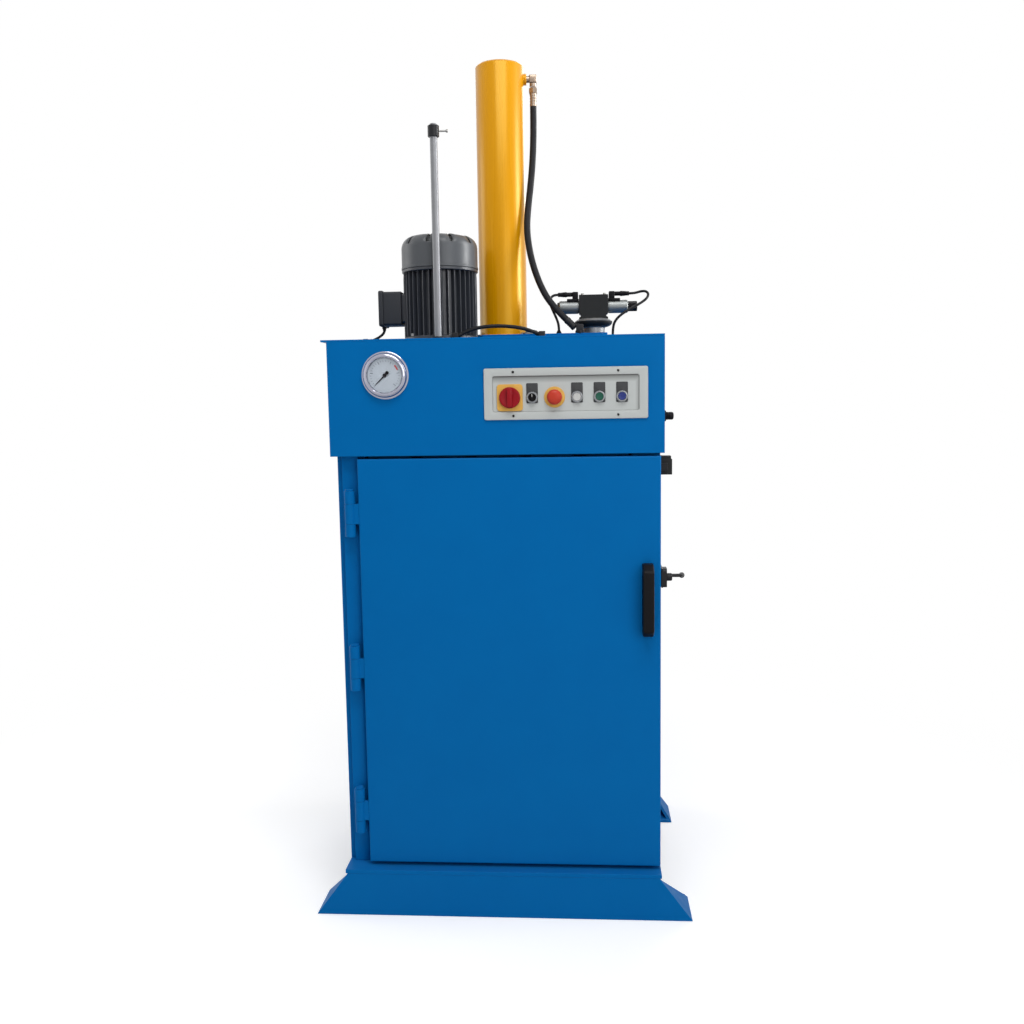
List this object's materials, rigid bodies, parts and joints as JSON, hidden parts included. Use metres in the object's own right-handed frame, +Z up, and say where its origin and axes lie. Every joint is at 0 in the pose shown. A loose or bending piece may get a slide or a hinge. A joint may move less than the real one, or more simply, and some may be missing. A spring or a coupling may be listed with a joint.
{
  "type": "vertical recycling baler",
  "caption": "Upright baling press: a steel box on two feet with a hinged front door, and a hydraulic cylinder on top that drives a guided platen down.",
  "frame": {"origin": "on the floor, under the middle of the door's front face, in the plane of the feet's soles", "axes": "+X to the right as the operator faces the door, +Y to the rear, +Z up"},
  "size_m": [0.996, 0.759, 2.271],
  "materials": {
    "blue_paint": "semi-gloss sprayed enamel",
    "cylinder_paint": "gloss yellow enamel",
    "motor_paint": "satin dark grey",
    "cowl_paint": "satin mid grey",
    "black_metal": "satin black",
    "panel_white": "satin off-white",
    "dark_steel": "oiled steel",
    "bright_steel": "zinc-plated",
    "rod_chrome": "hard chrome",
    "gauge_chrome": "polished",
    "pump_aluminium": "as cast",
    "valve_iron": "phosphated",
    "dial_white": "matte",
    "gauge_glass": "clear",
    "legend_plastic": "matte",
    "bezel_plastic": "metallised",
    "black_plastic": "fine grain",
    "switch_plastic": "fine grain",
    "white_plastic": "gloss",
    "green_plastic": "gloss",
    "blue_plastic": "gloss",
    "yellow_plastic": "gloss",
    "red_plastic": "gloss",
    "hose_rubber": "matte",
    "cable_sheath": "matte"
  },
  "bodies": {
    "frame": {"front_foot": "blue_paint", "rear_foot": "blue_paint", "floor_plate": "blue_paint", "left_side": "blue_paint", "right_side": "blue_paint", "rear_wall": "blue_paint", "hood_shell": "blue_paint", "hood_back": "blue_paint", "top_plate": "blue_paint", "crown_beam": "blue_paint", "cylinder_plate": "blue_paint", "cylinder_barrel": "cylinder_paint", "cylinder_gland": "dark_steel", "guide_bush": "bright_steel", "motor_body": "motor_paint", "motor_cowl": "cowl_paint", "terminal_box": "motor_paint", "oil_tank": "dark_steel", "gear_pump": "pump_aluminium", "valve_manifold": "dark_steel", "valve_body": "valve_iron", "solenoids": "black_plastic", "gauge_case": "gauge_chrome", "gauge_dial": "dial_white", "gauge_glass": "gauge_glass", "control_panel": "panel_white", "legend_plates": "legend_plastic", "button_bezels": "bezel_plastic", "estop_collar": "yellow_plastic", "main_switch_plate": "yellow_plastic", "cable_gland": "black_plastic", "door_switch": "switch_plastic", "latch_body": "black_metal", "hinge_pins": "bright_steel", "cylinder_hose": "hose_rubber", "pump_hose": "hose_rubber", "motor_cable": "cable_sheath", "left_cable": "cable_sheath", "right_cable": "cable_sheath", "hose_fittings": "bright_steel", "bolts": "bright_steel"},
    "ram": {"piston_rod": "rod_chrome", "platen": "blue_paint", "guide_rod": "rod_chrome", "stop_collar": "bright_steel"},
    "door": {"door_panel": "blue_paint", "door_liner": "blue_paint", "door_handle": "black_plastic"},
    "latch_lever": {"latch_lever": "black_metal"},
    "latch_bolt": {"latch_bolt": "bright_steel"},
    "motor_rotor": {"drive_shaft": "bright_steel", "motor_fan": "black_plastic"},
    "gauge_needle": {"gauge_needle": "black_plastic"},
    "main_switch_knob": {"main_switch_knob": "red_plastic"},
    "selector_knob": {"selector_knob": "black_plastic"},
    "estop_button": {"estop_button": "red_plastic"},
    "white_button": {"white_button": "white_plastic"},
    "green_button": {"green_button": "green_plastic"},
    "blue_button": {"blue_button": "blue_plastic"},
    "switch_plunger": {"switch_plunger": "bright_steel"}
  },
  "joints": [
    {"name": "ram_slide", "type": "slide", "parent": "frame", "child": "ram", "axis": [0, 0, -1], "range_m": [0, 0.49]},
    {"name": "door_hinge", "type": "hinge", "parent": "frame", "child": "door", "pos_m": [-0.38, 0.008, 0.67525], "axis": [0, 0, -1], "range_deg": [0, 170]},
    {"name": "latch_turn", "type": "hinge", "parent": "frame", "child": "latch_lever", "pos_m": [0.4388, 0.024, 0.903], "axis": [1, 0, 0], "range_deg": [0, 90]},
    {"name": "latch_bolt_slide", "type": "slide", "parent": "frame", "child": "latch_bolt", "axis": [1, 0, 0], "range_m": [-0.012, 0]},
    {"name": "motor_spin", "type": "hinge", "parent": "frame", "child": "motor_rotor", "pos_m": [-0.158, 0.2, 1.56], "axis": [0, 0, 1], "continuous": true},
    {"name": "gauge_needle_turn", "type": "hinge", "parent": "frame", "child": "gauge_needle", "pos_m": [-0.276, -0.0085, 1.426], "axis": [0, 1, 0], "range_deg": [0, 270], "stiffness_Nm_per_rad": 0.0005},
    {"name": "main_switch_turn", "type": "hinge", "parent": "frame", "child": "main_switch_knob", "pos_m": [0.039, -0.012, 1.365], "axis": [0, 1, 0], "range_deg": [0, 90]},
    {"name": "selector_turn", "type": "hinge", "parent": "frame", "child": "selector_knob", "pos_m": [0.095, -0.012, 1.365], "axis": [0, 1, 0], "range_deg": [-45, 45]},
    {"name": "estop_press", "type": "slide", "parent": "frame", "child": "estop_button", "axis": [0, 1, 0], "range_m": [0, 0.004], "stiffness_N_per_m": 800},
    {"name": "white_press", "type": "slide", "parent": "frame", "child": "white_button", "axis": [0, 1, 0], "range_m": [0, 0.004], "stiffness_N_per_m": 400},
    {"name": "green_press", "type": "slide", "parent": "frame", "child": "green_button", "axis": [0, 1, 0], "range_m": [0, 0.004], "stiffness_N_per_m": 400},
    {"name": "blue_press", "type": "slide", "parent": "frame", "child": "blue_button", "axis": [0, 1, 0], "range_m": [0, 0.004], "stiffness_N_per_m": 400},
    {"name": "switch_press", "type": "slide", "parent": "frame", "child": "switch_plunger", "axis": [0, 1, 0], "range_m": [0, 0.003], "stiffness_N_per_m": 300}
  ],
  "couplings": [
    {"joint": "latch_bolt_slide", "follows": "latch_turn", "m_per_rad": -0.0076394}
  ]
}
